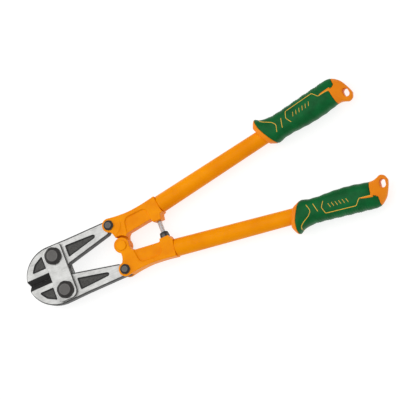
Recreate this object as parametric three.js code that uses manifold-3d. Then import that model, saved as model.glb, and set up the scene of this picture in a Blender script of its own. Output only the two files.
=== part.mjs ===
// Bolt cutters of the 450 mm class, jaws closed. Millimetres, +Z up, the tool lying flat.
// +X runs along the symmetry axis from the jaws to the grips. The tool is built round the
// centre pivot at mid thickness, and at the end it is set on its base.
// Every piece of the upper handle and jaw is built with Y outwards. The lower ones are the same
// pieces turned half a turn about X, which also puts the lower knuckle on top.
import * as THREE from 'three';
import { mergeVertices } from 'three/addons/utils/BufferGeometryUtils.js';
import Module from 'manifold-3d';

const wasm = await Module();
wasm.setup();

const gap = 0.3; // between neighbouring pieces
const play = 0.35; // round a pin in its bore
const past = 1; // how far a cutter runs past a face

// pivots
const boltX = -82.3;
const boltY = 21.5;
const pinX = -5.8;
const pinY = 28;

// jaws
const jawHalf = 5.5;
const headX = -88.5;
const headLength = 37.3;
const headWidth = 35.5;
const tipY = 5.4;
const bevelWidth = 5.6;
const edgeHalf = 1.2;
const crotch = [-67.5, 6.2];
const tailRadius = 7.2;
const pocketDepth = 1.2;
const toothRadius = 3;

// straps, strap bolts and nuts
const strapHalfLength = 12.4;
const strapHalfWidth = 33.4;
const strapCorner = 7;
const strapThick = 4;
const boltRadius = 6;
const boltFlats = 20.4;
const boltFace = 7.2;
const nutFace = 8.6;
const boltHead = 4.4;
const rimShare = 0.52; // a head's turned rim over its flats, just cutting the corners off
const boltTurn = THREE.MathUtils.degToRad(4.5); // from X to the middle of a flat

// handle castings
const castHalf = 9;
const webHalf = 7;
const knuckleRadius = 9.3;
const knucklePlay = 2.1; // how far the two knuckles part while the handles swing
const pivotRadius = 4;
const pivotCap = 6.2;
const pivotNutFlats = 15;
const bossRadius = 8.4;
const jawPinRadius = 3.5;
const jawPinFlats = 11.6;
const jawPinHead = 2.6;
const nutHeight = 3.2;
const swing = 48; // degrees of room for a handle to turn on its jaw

// stop screw, its column and the anvil that it meets
const screwX = 51.2;
const screwRadius = 3;
const screwLength = 33;
const screwTravel = 6;
const lockNutFlats = 11;
const lockNutHeight = 6.4;
const anvilY = 9.6;
const columnY = 11.5;

// handles: s runs along the tube from the casting, v points outwards
const jointX = 59;
const jointY = 27.6;
const handleAngle = THREE.MathUtils.degToRad(8.9);
const tubeFront = 10.6;
const tubeRear = 9.4;
const tubeWall = 1.7;
const taperEnd = 145;
const tubeEnd = 236;
const spigotRadius = 8.2;
const spigotEnd = 34;
const tubePinS = 26;
const tubePinRadius = 2.5;
const tubePinHalf = 9.9;
const coreSleeve = 11.6;
const hangSlot = { s: 257.8, v: -10.1, radius: 3.5, halfLength: 5.2 };

const paint = new THREE.MeshStandardMaterial({ color: '#f7940a', roughness: 0.4, metalness: 0 });
const groundSteel = new THREE.MeshStandardMaterial({ color: '#d6d6d4', roughness: 0.35, metalness: 0.9 });
const blackSteel = new THREE.MeshStandardMaterial({ color: '#3b3a3a', roughness: 0.45, metalness: 0.8 });
const zincSteel = new THREE.MeshStandardMaterial({ color: '#c9ccce', roughness: 0.3, metalness: 0.9 });
const hardPlastic = new THREE.MeshStandardMaterial({ color: '#ec8a10', roughness: 0.5, metalness: 0 });
const softPlastic = new THREE.MeshStandardMaterial({ color: '#0c5a2e', roughness: 0.7, metalness: 0 });

// ---- closed solids, and their way back to a mesh ----

function solid(geometry) {
  geometry.deleteAttribute('normal');
  geometry.deleteAttribute('uv');
  const merged = mergeVertices(geometry, 1e-4);
  return new wasm.Manifold(new wasm.Mesh({
    numProp: 3,
    vertProperties: new Float32Array(merged.attributes.position.array),
    triVerts: new Uint32Array(merged.index.array),
  }));
}

function toGeometry(body) {
  const mesh = body.getMesh();
  const geometry = new THREE.BufferGeometry();
  geometry.setAttribute('position', new THREE.BufferAttribute(mesh.vertProperties, 3));
  geometry.setIndex(new THREE.BufferAttribute(mesh.triVerts, 1));
  return geometry;
}

function piece(name, body, material) {
  const mesh = new THREE.Mesh(toGeometry(body), material);
  mesh.name = name;
  return mesh;
}

function outline(points) {
  return new THREE.Shape(points.map(([x, y]) => new THREE.Vector2(x, y)));
}

function plate(shape, low, high, curveSegments = 10) {
  const settings = { depth: high - low, bevelEnabled: false, curveSegments };
  return solid(new THREE.ExtrudeGeometry(shape, settings).translate(0, 0, low));
}

function disc(x, y, radius, low, high, sides = 24) {
  const geometry = new THREE.CylinderGeometry(radius, radius, high - low, sides);
  return solid(geometry.rotateX(Math.PI / 2).translate(x, y, (low + high) / 2));
}

// a closed profile of [radius, height] points turned about Z
function turned(profile, sides = 24) {
  const points = profile.map(([radius, height]) => new THREE.Vector2(radius, height));
  return solid(new THREE.LatheGeometry(points, sides).rotateX(Math.PI / 2));
}

// a hexagon standing on z = 0, its top face turned down to a circle
function hexagon(flats, height, face, turn) {
  const corner = flats / Math.sqrt(3);
  const rim = flats * rimShare;
  const prism = new THREE.CylinderGeometry(corner, corner, height, 6);
  const standing = solid(prism.rotateX(Math.PI / 2).rotateZ(turn).translate(0, 0, height / 2));
  return standing.intersect(turned([[0, 0], [rim, 0], [rim, height * 0.4], [face, height], [0, height]]));
}

// ---- jaws ----

function jawOutline() {
  const shape = new THREE.Shape();
  const tipAngle = Math.PI - Math.asin(tipY / headWidth);
  const tipX = headX + headLength * Math.cos(tipAngle);
  shape.moveTo(tipX + 1.8, gap / 2);
  shape.lineTo(boltX - toothRadius - 2 * gap, gap / 2);
  shape.lineTo(boltX + toothRadius + 2 * gap, gap * 2);
  shape.lineTo(...crotch);
  shape.lineTo(-12, 18.6);
  shape.absarc(pinX, pinY, tailRadius, -2, 1.9, false);
  shape.lineTo(-60, 34.8);
  shape.absellipse(headX, 0, headLength, headWidth, Math.PI / 2, tipAngle, false, 0);
  return shape;
}

function frontPocket() {
  const shape = outline([[-97.4, 27.4], [-97.4, 12.3], [-116, 12.3]]);
  shape.quadraticCurveTo(-110, 22, -98.4, 27.4);
  return shape;
}

function rearPocket() {
  const shape = outline([[-65.4, 28], [-65.4, 13.8], [-31, 21.6]]);
  shape.absarc(-29.4, 24.6, 3, -1.8, 1.5, false);
  return shape;
}

// what grinding takes off one side of the cutting edge: the section lies in Y and Z, run along X
function bevelCut(side) {
  const slope = (jawHalf - edgeHalf) / bevelWidth;
  const inner = side * (edgeHalf - 2 * slope);
  const clear = side * (jawHalf + 2);
  const section = outline([[-2, inner], [bevelWidth, side * jawHalf], [bevelWidth, clear], [-2, clear]]);
  const geometry = new THREE.ExtrudeGeometry(section, { depth: 38, bevelEnabled: false });
  const turn = new THREE.Matrix4().set(0, 0, 1, headX - headLength - 2, 1, 0, 0, 0, 0, 1, 0, 0, 0, 0, 0, 1);
  return solid(geometry.applyMatrix4(turn));
}

function jaw(interlock) {
  let body = plate(jawOutline(), -jawHalf, jawHalf, 14);
  body = body.subtract(bevelCut(1)).subtract(bevelCut(-1));
  for (const pocket of [frontPocket, rearPocket]) {
    body = body.subtract(plate(pocket(), jawHalf - pocketDepth, jawHalf + past, 6));
    body = body.subtract(plate(pocket(), -jawHalf - past, pocketDepth - jawHalf, 6));
  }
  if (interlock === 'tooth') {
    body = body.add(disc(boltX, 0, toothRadius, -jawHalf, jawHalf, 18));
  } else {
    body = body.subtract(disc(boltX, 0, toothRadius + gap + 0.2, -jawHalf - past, jawHalf + past, 18));
  }
  body = body.subtract(disc(boltX, boltY, boltRadius + play, -jawHalf - past, jawHalf + past));
  return body.subtract(disc(pinX, pinY, jawPinRadius + play, -jawHalf - past, jawHalf + past));
}

// ---- straps and strap bolts ----

const strapInner = jawHalf + gap;
const strapOuter = strapInner + strapThick;
const baseLevel = strapOuter + gap + boltHead;

function strap(low, high) {
  const x = strapHalfLength - strapCorner;
  const y = strapHalfWidth - strapCorner;
  const shape = new THREE.Shape();
  [[x, y], [-x, y], [-x, -y], [x, -y]].forEach(([cornerX, cornerY], quarter) => {
    const start = (quarter * Math.PI) / 2;
    shape.absarc(boltX + cornerX, cornerY, strapCorner, start, start + Math.PI / 2, false);
  });
  let body = plate(shape, low, high, 6);
  for (const y of [boltY, -boltY]) {
    body = body.subtract(disc(boltX, y, boltRadius + play, low - past, high + past));
  }
  return body;
}

// head on top, plain shank down to just inside the nut
function bolt(radius, head, underHead, shankEnd) {
  const shank = disc(0, 0, radius, shankEnd, underHead + 0.5);
  const onTop = solid(toGeometry(head).translate(0, 0, underHead));
  return onTop.add(shank);
}

// a nut whose upper face is at z = top, its bevelled face down
function nut(flats, height, face, bore, top, turn) {
  const body = hexagon(flats, height, face, turn).subtract(disc(0, 0, bore, -past, height + past));
  return solid(toGeometry(body).rotateX(Math.PI).translate(0, 0, top));
}

function strapBolt(name, y) {
  const head = hexagon(boltFlats, boltHead, boltFace, boltTurn);
  const mesh = piece(name, bolt(boltRadius, head, strapOuter + gap, gap - baseLevel), blackSteel);
  mesh.position.set(boltX, y, 0);
  return mesh;
}

function strapNut(name, y) {
  const body = nut(boltFlats, boltHead, nutFace, boltRadius + play, -strapOuter - gap, boltTurn);
  const mesh = piece(name, body, blackSteel);
  mesh.position.set(boltX, y, 0);
  return mesh;
}

// ---- handle castings ----

// the plan of a casting from the neck round to the tube joint; inner holds the points of the stub
// or the column on the window side
function castingOutline(inner) {
  const shape = new THREE.Shape();
  const across = new THREE.Vector2(-Math.sin(handleAngle), Math.cos(handleAngle)).multiplyScalar(tubeFront);
  shape.moveTo(-4.4, 5);
  shape.lineTo(8.6, 5);
  shape.quadraticCurveTo(9.4, 10.6, 13.5, 10.9);
  shape.lineTo(34.6, 13.5);
  for (const [x, y] of inner) shape.lineTo(x, y);
  shape.lineTo(jointX - across.x, jointY - across.y);
  shape.lineTo(jointX + across.x, jointY + across.y);
  shape.quadraticCurveTo(40, 34.6, 25, 33.8);
  shape.quadraticCurveTo(10, 33.6, -3.4, 36.1);
  shape.absarc(pinX, pinY, bossRadius, 1.28, 4.6, false);
  shape.quadraticCurveTo(-2.4, 13, -4.4, 5);
  return shape;
}

const anvilPoints = [[44, 14.4], [46.2, anvilY], [56.2, anvilY], [57.4, 16]];
const columnPoints = [[43, 14.4], [45.6, 13.4], [45.6, columnY], [56.9, columnY], [58.3, 15.4]];

function panelOutline() {
  const shape = outline([[11.4, 7], [13.2, 22]]);
  shape.quadraticCurveTo(14.4, 28, 20, 28.6);
  shape.lineTo(38, 29.4);
  shape.quadraticCurveTo(43.4, 29.2, 44.2, 23);
  shape.lineTo(45.4, 7);
  return shape;
}

// room for the jaw's tail: a disc round the pin and one arm for each step of the swing
function forkSlot() {
  const half = jawHalf + gap;
  const radius = tailRadius + 2 * gap;
  let room = disc(pinX, pinY, radius, -half, half);
  const steps = 4;
  for (let i = 0; i <= steps; i += 1) {
    const arm = new THREE.BoxGeometry(20, 2 * radius, 2 * half).translate(-10, 0, 0);
    arm.rotateZ(-THREE.MathUtils.degToRad((swing * i) / steps)).translate(pinX, pinY, 0);
    room = room.add(solid(arm));
  }
  return room;
}

function alongHandle(geometry) {
  return solid(geometry.rotateZ(handleAngle).translate(jointX, jointY, 0));
}

function spigot() {
  const geometry = new THREE.CylinderGeometry(spigotRadius, spigotRadius, spigotEnd + 12, 24);
  geometry.rotateZ(Math.PI / 2).translate((spigotEnd - 12) / 2, 0, 0);
  const cross = new THREE.CylinderGeometry(tubePinRadius + play, tubePinRadius + play, 3 * castHalf, 14);
  cross.rotateX(Math.PI / 2).translate(tubePinS, 0, 0);
  return alongHandle(geometry).subtract(alongHandle(cross));
}

function casting(inner, knuckleBore) {
  const shoulder = knuckleRadius + knucklePlay + gap;
  let body = plate(castingOutline(inner), -castHalf, castHalf, 8);
  body = body.subtract(disc(0, 0, shoulder, -gap / 2, castHalf + past, 32));
  body = body.add(disc(0, 0, knuckleRadius, -castHalf, -gap / 2, 32));
  body = body.subtract(plate(panelOutline(), webHalf, castHalf + past, 5));
  body = body.subtract(plate(panelOutline(), -castHalf - past, -webHalf, 5));
  body = body.subtract(forkSlot());
  body = body.subtract(disc(pinX, pinY, jawPinRadius + play, -castHalf - past, castHalf + past));
  body = body.subtract(disc(0, 0, knuckleBore, -castHalf - past, castHalf + past));
  return body.add(spigot());
}

// blind hole for the stop screw, run in from the window side along Y
function screwHole() {
  const screwEnd = screwLength - (anvilY - gap);
  const depth = screwEnd + screwTravel + 2 * past - columnY;
  const geometry = new THREE.CylinderGeometry(screwRadius + play, screwRadius + play, depth, 24);
  return solid(geometry.translate(screwX, columnY - past + depth / 2, 0));
}

// ---- pins, pivot and stop screw ----

function jawPin(name, y) {
  const head = hexagon(jawPinFlats, jawPinHead, 3.6, boltTurn);
  const mesh = piece(name, bolt(jawPinRadius, head, castHalf + gap, -castHalf - nutHeight), blackSteel);
  mesh.position.set(pinX, y, 0);
  return mesh;
}

function jawPinNut(name, y) {
  const body = nut(jawPinFlats, nutHeight, 4.4, jawPinRadius + play, -castHalf - gap, boltTurn);
  const mesh = piece(name, body, blackSteel);
  mesh.position.set(pinX, y, 0);
  return mesh;
}

function pivotBolt() {
  const cap = turned([[0, 0], [pivotCap, 0], [pivotCap, 0.7], [pivotCap - 0.7, 1.4], [0, 1.7]], 28);
  return piece('centre_pivot_bolt', bolt(pivotRadius, cap, castHalf + gap, -castHalf - nutHeight), paint);
}

function pivotNut() {
  const body = nut(pivotNutFlats, nutHeight, 5.8, pivotRadius + play, -castHalf - gap, 0);
  return piece('centre_pivot_nut', body, blackSteel);
}

// the screw lies along Y with its tip a gap short of the anvil
function stopScrew() {
  const tip = anvilY - gap;
  const chamfer = 0.8;
  const shoulder = screwLength - chamfer;
  const end = screwRadius - chamfer;
  const profile = [[0, 0], [screwRadius, 0], [screwRadius, shoulder], [end, screwLength], [0, screwLength]];
  const body = turned(profile);
  const geometry = toGeometry(body).rotateX(-Math.PI / 2).translate(screwX, tip - screwLength, 0);
  return piece('stop_screw', solid(geometry), zincSteel);
}

function lockNut() {
  const bore = disc(0, 0, screwRadius + play, -past, lockNutHeight + past);
  const bored = hexagon(lockNutFlats, lockNutHeight, 4.8, 0).subtract(bore);
  const geometry = toGeometry(bored).rotateX(-Math.PI / 2).translate(screwX, gap - columnY, 0);
  return piece('stop_lock_nut', solid(geometry), blackSteel);
}

// ---- tubes and grips, built along s with v outwards ----

function tube() {
  const profile = [
    [tubeFront, gap], [tubeRear, taperEnd], [tubeRear, tubeEnd],
    [tubeRear - tubeWall, tubeEnd], [tubeRear - tubeWall, taperEnd], [tubeFront - tubeWall, gap],
    [tubeFront, gap],
  ];
  const along = solid(toGeometry(turned(profile, 28)).rotateY(Math.PI / 2));
  return along.subtract(disc(tubePinS, 0, tubePinRadius + play, -tubeFront - past, tubeFront + past, 14));
}

function bar(radius, from, to) {
  const geometry = new THREE.CylinderGeometry(radius, radius, to - from, 24);
  return solid(geometry.rotateZ(Math.PI / 2).translate((from + to) / 2, 0, 0));
}

// stations of the grip: outer point [s, v], inner point [s, v], half thickness
const gripStations = [
  [142.1, 14.2, 150.2, -11.2, 11.8],
  [143.4, 16.6, 152, -12.2, 13],
  [148.7, 22.1, 156.6, -14.8, 14.6],
  [153.8, 18.5, 160.3, -15.8, 14.6],
  [159.1, 16.4, 163.4, -15.5, 14.3],
  [168, 15, 168.6, -14.8, 13.8],
  [180, 14.7, 180, -15, 13.6],
  [195, 15, 195, -16.6, 14],
  [210, 15.4, 210, -17.4, 14.4],
  [226, 15.6, 226, -17.2, 14.5],
  [238, 15.7, 236, -16.3, 14],
  [245.5, 15.3, 242.5, -15.9, 12.2],
  [250.5, 13.8, 247.8, -16.6, 9.6],
  [255.5, 9.6, 252.3, -18.8, 7.2],
  [259, 4.9, 255.5, -20.6, 5.8],
  [261.8, -2.5, 258.9, -20.2, 5],
  [263.5, -8.7, 261.8, -18.2, 4.4],
  [264.1, -12.4, 263.7, -14.6, 3],
];

// superellipse rings carried through the stations and closed at both ends
function gripBody() {
  const sides = 22;
  const rings = gripStations.length;
  const positions = [];
  for (const [outerS, outerV, innerS, innerV, half] of gripStations) {
    for (let i = 0; i < sides; i += 1) {
      const angle = (2 * Math.PI * i) / sides;
      const across = Math.sign(Math.cos(angle)) * Math.abs(Math.cos(angle)) ** 0.8;
      const up = Math.sign(Math.sin(angle)) * Math.abs(Math.sin(angle)) ** 0.8;
      const share = (1 + across) / 2;
      positions.push(innerS + (outerS - innerS) * share, innerV + (outerV - innerV) * share, half * up);
    }
  }
  const index = [];
  for (let ring = 0; ring < rings - 1; ring += 1) {
    for (let i = 0; i < sides; i += 1) {
      const a = ring * sides + i;
      const b = ring * sides + ((i + 1) % sides);
      index.push(a, b, a + sides, b, b + sides, a + sides);
    }
  }
  const last = (rings - 1) * sides;
  for (let i = 1; i < sides - 1; i += 1) {
    index.push(0, i + 1, i);
    index.push(last, last + i, last + i + 1);
  }
  const geometry = new THREE.BufferGeometry();
  geometry.setAttribute('position', new THREE.Float32BufferAttribute(positions, 3));
  geometry.setIndex(index);
  return solid(geometry);
}

// plan of the soft cover: slanted front edge, long outer lobe and shorter inner lobe at the rear
function coverPlan(grow) {
  return plate(outline([
    [148 - grow, 26], [148.5 - grow, 16.4], [149.2 - grow, 9.3], [151.4 - grow, 1.4],
    [153.9 - grow, -5.5], [155.4 - grow, -9.9], [160 - grow, -26],
    [242.5 + grow, -26], [242.5 + grow, 1.5 - grow], [250.3 + grow, 3.5 - grow], [250.3 + grow, 26],
  ]), -20, 20);
}

function hangHole() {
  const { s, v, radius, halfLength } = hangSlot;
  const shape = new THREE.Shape();
  shape.absarc(s, v + halfLength - radius, radius, 0, Math.PI, false);
  shape.absarc(s, v - halfLength + radius, radius, Math.PI, 2 * Math.PI, false);
  return plate(shape, -20, 20, 7);
}

function gripCover() {
  return gripBody().intersect(coverPlan(0)).subtract(bar(coreSleeve + gap, 140, 260));
}

function gripCore() {
  const shell = gripBody().subtract(coverPlan(gap)).add(bar(coreSleeve, 152, 246));
  return shell.subtract(bar(tubeRear + gap + 0.1, 130, tubeEnd + gap)).subtract(hangHole());
}

// ---- the assembly ----

function handle(side, inner, knuckleBore, screwed) {
  const half = new THREE.Group();
  let body = casting(inner, knuckleBore);
  if (screwed) body = body.subtract(screwHole());
  half.add(piece(`${side}_handle_casting`, body, paint));
  const along = new THREE.Group();
  along.position.set(jointX, jointY, 0);
  along.rotation.z = handleAngle;
  along.add(piece(`${side}_handle_tube`, tube(), paint));
  const pin = disc(tubePinS, 0, tubePinRadius, -tubePinHalf, tubePinHalf, 14);
  along.add(piece(`${side}_tube_pin`, pin, paint));
  along.add(piece(`${side}_grip_core`, gripCore(), hardPlastic));
  along.add(piece(`${side}_grip_cover`, gripCover(), softPlastic));
  half.add(along);
  return half;
}

const tool = new THREE.Group();
tool.add(piece('top_strap', strap(strapInner, strapOuter), groundSteel));
tool.add(piece('bottom_strap', strap(-strapOuter, -strapInner), groundSteel));
for (const [side, y] of [['upper', boltY], ['lower', -boltY]]) {
  tool.add(strapBolt(`${side}_strap_bolt`, y));
  tool.add(strapNut(`${side}_strap_nut`, y));
}
for (const [side, y] of [['upper', pinY], ['lower', -pinY]]) {
  tool.add(jawPin(`${side}_jaw_pin`, y));
  tool.add(jawPinNut(`${side}_jaw_pin_nut`, y));
}
tool.add(piece('upper_jaw', jaw('tooth'), groundSteel));
tool.add(handle('upper', anvilPoints, pivotRadius + knucklePlay + gap, false));
tool.add(pivotBolt());
tool.add(pivotNut());
tool.add(stopScrew());
tool.add(lockNut());

const turnedOver = new THREE.Group();
turnedOver.rotation.x = Math.PI;
turnedOver.add(piece('lower_jaw', jaw('socket'), groundSteel));
turnedOver.add(handle('lower', columnPoints, pivotRadius + play, true));
tool.add(turnedOver);

// stand the tool on its base, centred
const extent = new THREE.Box3().setFromObject(tool, true);
const centre = extent.getCenter(new THREE.Vector3());
tool.position.set(-centre.x, -centre.y, -extent.min.z);

export default tool;
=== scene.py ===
# Bolt cutters lying flat on a pale floor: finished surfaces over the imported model.
# Shapes are worked out in millimetres round the centre pivot, at mid thickness, +X from the jaws
# to the grips. An upper jaw, tube or grip is made with Y outwards, and the lower one is the same
# piece turned half a turn about X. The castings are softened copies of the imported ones.
import math

import bmesh
import bpy
import numpy as np
from mathutils import Matrix, Vector


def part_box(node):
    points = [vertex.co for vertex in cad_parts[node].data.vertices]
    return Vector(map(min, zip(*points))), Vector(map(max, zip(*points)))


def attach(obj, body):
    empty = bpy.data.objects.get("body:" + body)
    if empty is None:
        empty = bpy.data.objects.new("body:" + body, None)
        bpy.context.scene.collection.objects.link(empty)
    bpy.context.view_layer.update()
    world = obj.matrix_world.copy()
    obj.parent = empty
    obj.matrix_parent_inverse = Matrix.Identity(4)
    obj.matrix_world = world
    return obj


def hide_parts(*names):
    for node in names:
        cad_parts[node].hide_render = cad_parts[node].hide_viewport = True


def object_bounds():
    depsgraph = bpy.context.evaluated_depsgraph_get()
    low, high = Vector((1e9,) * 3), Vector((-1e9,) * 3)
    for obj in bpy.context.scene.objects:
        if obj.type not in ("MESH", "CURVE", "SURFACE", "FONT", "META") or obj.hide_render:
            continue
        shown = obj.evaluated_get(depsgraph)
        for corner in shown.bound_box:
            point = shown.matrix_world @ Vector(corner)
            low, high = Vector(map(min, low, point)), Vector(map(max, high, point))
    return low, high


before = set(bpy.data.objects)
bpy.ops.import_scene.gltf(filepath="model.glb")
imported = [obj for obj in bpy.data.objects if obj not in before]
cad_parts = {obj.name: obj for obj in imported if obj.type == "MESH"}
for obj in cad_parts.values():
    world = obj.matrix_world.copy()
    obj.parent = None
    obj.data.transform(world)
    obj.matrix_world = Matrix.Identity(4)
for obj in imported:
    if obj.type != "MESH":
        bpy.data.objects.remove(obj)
cadBox = [list(corner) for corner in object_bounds()]
mm = 0.001


def middleOf(node):  # middle of a CAD node's box, in metres
    low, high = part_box(node)
    return (np.array(low) + np.array(high)) / 2


strapsMiddle = (middleOf("top_strap") + middleOf("bottom_strap")) / 2
pivotMiddle = middleOf("centre_pivot_bolt")
origin = np.array([pivotMiddle[0], pivotMiddle[1], strapsMiddle[2]])


def spot(node):  # middle of a CAD node, in millimetres from the centre pivot
    return (middleOf(node) - origin) / mm


boltSpot = spot("upper_strap_bolt")
pinSpot = spot("upper_jaw_pin")
screwSpot = spot("stop_screw")
print("frame loaded:", len(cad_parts), "nodes")


view = {
    "distance": 3500,  # mm from the camera to the point that it looks at
    "lookAt": (106.3, 12.7, 0),  # mm from the centre pivot
    "off": 18.0,  # degrees between the line of sight and straight down
    "side": -40.4,  # degrees round from +X to the side that the camera leans to
    "roll": 21.9,  # degrees that the tool's axis rises in the view
    "width": 467.1,  # mm across the view at the tool
}


def addCamera():
    off, side, roll = (math.radians(view[key]) for key in ("off", "side", "roll"))
    back = Vector((math.sin(off) * math.cos(side), math.sin(off) * math.sin(side), math.cos(off)))
    across = Vector((math.sin(roll), math.cos(roll), 0)).cross(back).normalized()
    data = bpy.data.cameras.new("camera")
    data.lens = data.sensor_width * view["distance"] / view["width"]
    data.clip_end = 20
    camera = bpy.data.objects.new("camera", data)
    target = Vector(origin) + Vector(view["lookAt"]) * mm
    turned = Matrix((across, back.cross(across), back)).transposed().to_4x4()
    camera.matrix_world = Matrix.Translation(target + back * view["distance"] * mm) @ turned
    bpy.context.collection.objects.link(camera)
    bpy.context.scene.camera = camera


studio = {
    "floorReach": 3.0,  # metres from the middle to the floor's edge
    "floorGap": 0.4,  # mm from the tool's lowest face down to the floor
    "floorGlow": 0.78,  # strength of the floor's own light
    "world": 0.62,  # strength of the light from all round
    "lamps": {  # place in metres, size in metres, watts
        "overhead": ((-0.15, 0.35, 1.5), 1.5, 9.5),
        "leftSoft": ((-1.3, 0.5, 0.9), 1.0, 5.0),
        "rightFill": ((1.2, -0.9, 0.8), 1.0, 1.5),
    },
}


def addLights():
    for name, (place, size, watts) in studio["lamps"].items():
        data = bpy.data.lights.new(name, "AREA")
        data.size = size
        data.energy = watts
        lamp = bpy.data.objects.new(name, data)
        lamp.location = place
        lamp.rotation_mode = "QUATERNION"
        lamp.rotation_quaternion = (-Vector(place)).to_track_quat("-Z", "Y")
        bpy.context.collection.objects.link(lamp)
    world = bpy.data.worlds.new("softWhiteRoom")
    world.use_nodes = True
    sky = world.node_tree.nodes["Background"]
    sky.inputs["Color"].default_value = (1, 1, 1, 1)
    sky.inputs["Strength"].default_value = studio["world"]
    bpy.context.scene.world = world
    bpy.context.scene.view_settings.view_transform = "Standard"


def linear(hexColour):  # "#rrggbb" as the linear colour that the shader wants
    srgb = np.array([int(hexColour[i : i + 2], 16) for i in (1, 3, 5)]) / 255
    light = np.where(srgb <= 0.04045, srgb / 12.92, ((srgb + 0.055) / 1.055) ** 2.4)
    return (*light.tolist(), 1.0)


def addNode(tree, kind, settings=(), links=()):
    # settings name a property or an input; links are pairs of an input and the output it takes
    node = tree.nodes.new(kind)
    for name, value in dict(settings).items():
        if isinstance(name, str) and hasattr(node, name):
            setattr(node, name, value)
        else:
            node.inputs[name].default_value = value
    for name, source in dict(links).items():
        tree.links.new(source, node.inputs[name])
    return node


def newMaterial(name, shaderSettings):
    material = bpy.data.materials.new(name)
    material.use_nodes = True
    tree = material.node_tree
    shader = tree.nodes["Principled BSDF"]
    for socket, value in shaderSettings.items():
        shader.inputs[socket].default_value = value
    place = addNode(tree, "ShaderNodeTexCoord").outputs["Object"]
    return material, tree, shader, place


patchSpan = {"From Min": 0.3, "From Max": 0.7}  # where most values of a patch pattern lie


def patches(tree, place, size, stretch=(1, 1, 1), detail=3.0):
    # soft patches about size mm wide, longer along an axis by its stretch
    scale = [1 / (size * mm * part) for part in stretch]
    mapped = addNode(tree, "ShaderNodeMapping", {"Scale": scale}, {"Vector": place})
    settings = {"Scale": 1.0, "Detail": detail, "Roughness": 0.55}
    links = {"Vector": mapped.outputs[0]}
    return addNode(tree, "ShaderNodeTexNoise", settings, links).outputs["Fac"]


def laidOver(tree, base, *layers):
    # colours laid on the base one by one: a layer is a colour and the share of it that covers what
    # is below, and a colour is a hex one or a node's output
    colour = base
    for over, share in layers:
        settings, links = {"data_type": "RGBA"}, {0: share}
        for socket, value in ((6, colour), (7, over)):
            if isinstance(value, str):
                settings[socket] = linear(value)
            else:
                links[socket] = value
        colour = addNode(tree, "ShaderNodeMix", settings, links).outputs[2]
    return colour


def twoTone(tree, pattern, low, high):  # from one hex colour to another as the pattern rises
    settings = {**patchSpan, "To Min": 0, "To Max": 1}
    share = addNode(tree, "ShaderNodeMapRange", settings, {"Value": pattern}).outputs["Result"]
    return laidOver(tree, low, (high, share))


def dress(tree, shader, colour, sheen, roughness, grain=None, depth=0.0, strength=0.0):
    # colour, roughness between two values as the sheen pattern rises, and bumps of the grain
    # pattern with a depth in mm; gives back the roughness
    tree.links.new(colour, shader.inputs["Base Color"])
    settings = {**patchSpan, "To Min": roughness[0], "To Max": roughness[1]}
    rough = addNode(tree, "ShaderNodeMapRange", settings, {"Value": sheen})
    tree.links.new(rough.outputs["Result"], shader.inputs["Roughness"])
    if grain is not None:
        settings = {"Strength": strength, "Distance": depth * mm}
        normal = addNode(tree, "ShaderNodeBump", settings, {"Height": grain})
        tree.links.new(normal.outputs[0], shader.inputs["Normal"])
    return rough.outputs["Result"]


# Enamel baked on over steel tube: one strong colour, glossy, with a low orange peel of lumps
# 1.6 mm across. Its IOR is below the usual 1.5, so that the pale floor doesn't wash it out.
def bakedEnamel():
    settings = {"IOR": 1.3, "Specular IOR Level": 0.1, "Coat Weight": 0.03, "Coat Roughness": 0.12}
    material, tree, shader, place = newMaterial("bakedEnamel", settings)
    colour = twoTone(tree, patches(tree, place, 30, detail=2.0), "#e88700", "#f29400")
    peel = patches(tree, place, 1.6, detail=2.0)
    dress(tree, shader, colour, peel, (0.28, 0.42), peel, 0.05, 0.5)
    return material


# Sand-cast iron under the same enamel: the sand shows through as lumps. Its grains are 0.2 to
# 0.5 mm, drawn 1.3 mm wide so that they show.
def enamelledCasting():
    settings = {"IOR": 1.3, "Specular IOR Level": 0.1, "Coat Weight": 0.03, "Coat Roughness": 0.16}
    material, tree, shader, place = newMaterial("enamelledCasting", settings)
    colour = twoTone(tree, patches(tree, place, 18), "#e78300", "#f39600")
    sand = patches(tree, place, 1.3)
    dress(tree, shader, colour, sand, (0.3, 0.46), sand, 0.12, 0.6)
    return material


# Polypropylene, moulded: even colour, a soft sheen and a very fine spark-eroded grain, which is
# about 0.2 mm and drawn 0.7 mm wide so that it shows.
def mouldedPolypropylene():
    settings = {"IOR": 1.49, "Specular IOR Level": 0.2}
    material, tree, shader, place = newMaterial("mouldedPolypropylene", settings)
    colour = twoTone(tree, patches(tree, place, 22, detail=2.0), "#e57c00", "#f08a00")
    grain = patches(tree, place, 0.7, detail=2.0)
    dress(tree, shader, colour, grain, (0.4, 0.55), grain, 0.05, 0.5)
    return material


# The core's raised lines, wiped with straw-coloured paint: pale, a little glossier, and uneven
# over about 3 mm as a wiped coat is.
def paintedLines():
    settings = {"IOR": 1.49, "Specular IOR Level": 0.2}
    material, tree, shader, place = newMaterial("paintedLines", settings)
    colour = twoTone(tree, patches(tree, place, 3), "#d9a42e", "#ebbd4c")
    dress(tree, shader, colour, patches(tree, place, 0.7), (0.35, 0.5))
    return material


# Thermoplastic rubber moulded over the core: matt, deep green, finely textured for grip, with a
# 0.3 mm grain drawn 0.8 mm wide so that it shows.
def overmouldedRubber():
    settings = {"IOR": 1.5, "Specular IOR Level": 0.13}
    material, tree, shader, place = newMaterial("overmouldedRubber", settings)
    colour = twoTone(tree, patches(tree, place, 14), "#004d21", "#00622d")
    grain = patches(tree, place, 0.8, detail=2.0)
    dress(tree, shader, colour, grain, (0.36, 0.52), grain, 0.1, 0.6)
    return material


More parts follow.
